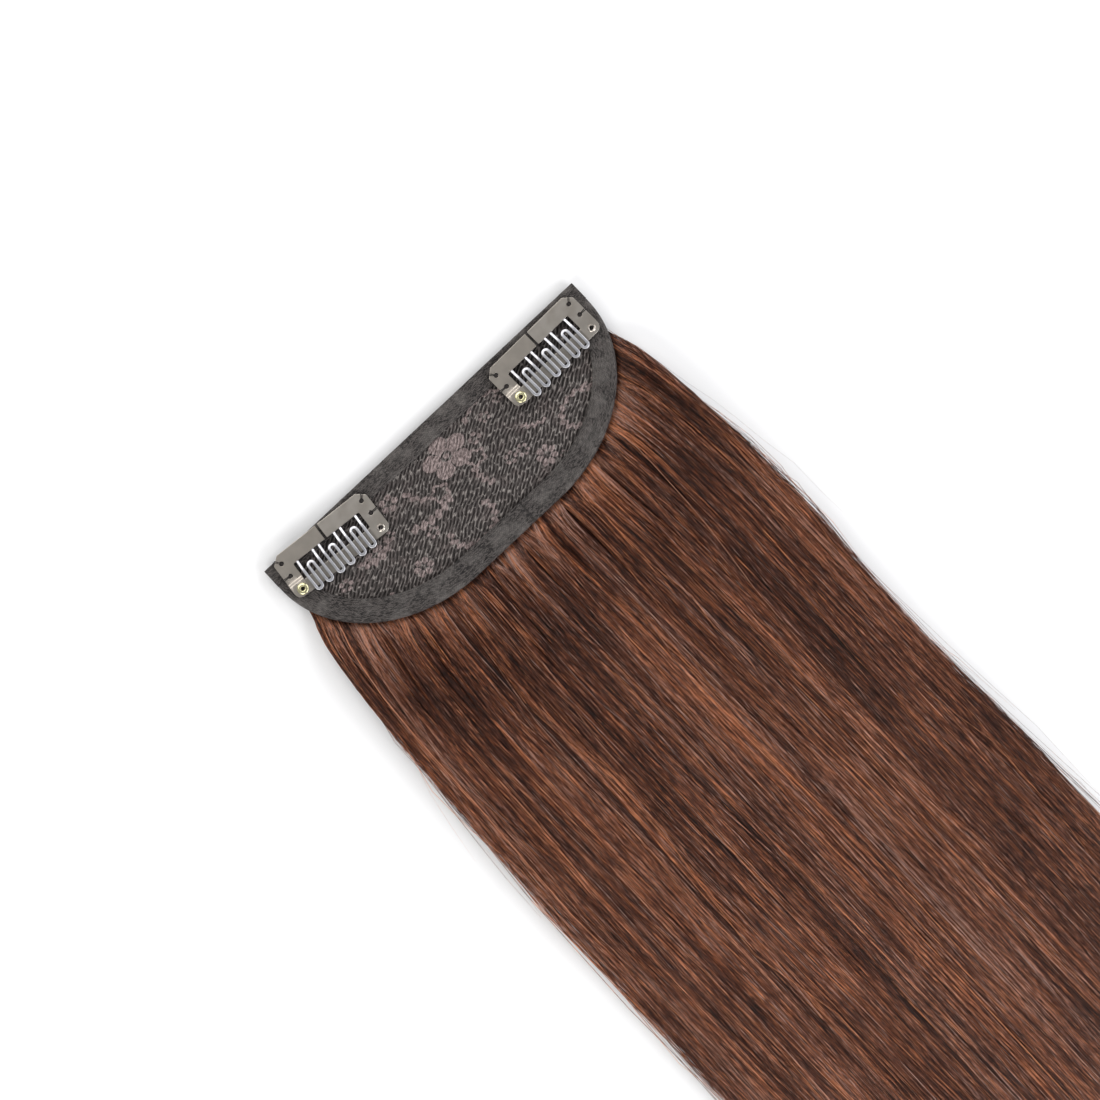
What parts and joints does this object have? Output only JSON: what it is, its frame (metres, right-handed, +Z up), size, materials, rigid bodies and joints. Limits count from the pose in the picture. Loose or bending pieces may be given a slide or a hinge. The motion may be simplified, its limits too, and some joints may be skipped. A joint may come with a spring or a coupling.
{
  "type": "clip in hair extension weft",
  "caption": "Half moon weft of straight brown hair on a lace base with bound edges and steel snap comb clips, lying hair side down.",
  "frame": {"origin": "middle of the weft's outline, on the surface it lies on", "axes": "+Y towards the straight edge with the clips, the hair flows to -Y, +X along the straight edge, +Z up out of the clip side"},
  "size_m": [0.1508, 0.4058, 0.0085],
  "materials": {
    "hair": "straight fibre with a soft sheen",
    "lace": "matt ribbed net with floral motifs",
    "tape": "matt fine woven tape",
    "clip_steel": "satin",
    "brass_eyelet": "polished"
  },
  "bodies": {
    "root": {"lace_base": "lace", "top_tape": "tape", "edge_tape": "tape", "hair": "hair", "left_clip_eyelet_plate": "clip_steel", "left_clip_cross_bar_plate": "clip_steel", "left_clip_eyelet": "brass_eyelet", "right_clip_eyelet_plate": "clip_steel", "right_clip_cross_bar_plate": "clip_steel", "right_clip_eyelet": "brass_eyelet"},
    "left_comb": {"left_clip_comb_1": "clip_steel", "left_clip_comb_2": "clip_steel", "left_clip_comb_3": "clip_steel"},
    "right_comb": {"right_clip_comb_1": "clip_steel", "right_clip_comb_2": "clip_steel", "right_clip_comb_3": "clip_steel"}
  },
  "joints": [
    {"name": "left_clip_snap", "type": "hinge", "parent": "root", "child": "left_comb", "pos_m": [-0.04628, 0.19604, 0.00466], "axis": [-0.9962, 0.0866, -0.0099], "range_deg": [0, 28]},
    {"name": "right_clip_snap", "type": "hinge", "parent": "root", "child": "right_comb", "pos_m": [0.04652, 0.19473, 0.00481], "axis": [-0.9997, -0.0225, 0.0026], "range_deg": [0, 28]}
  ]
}
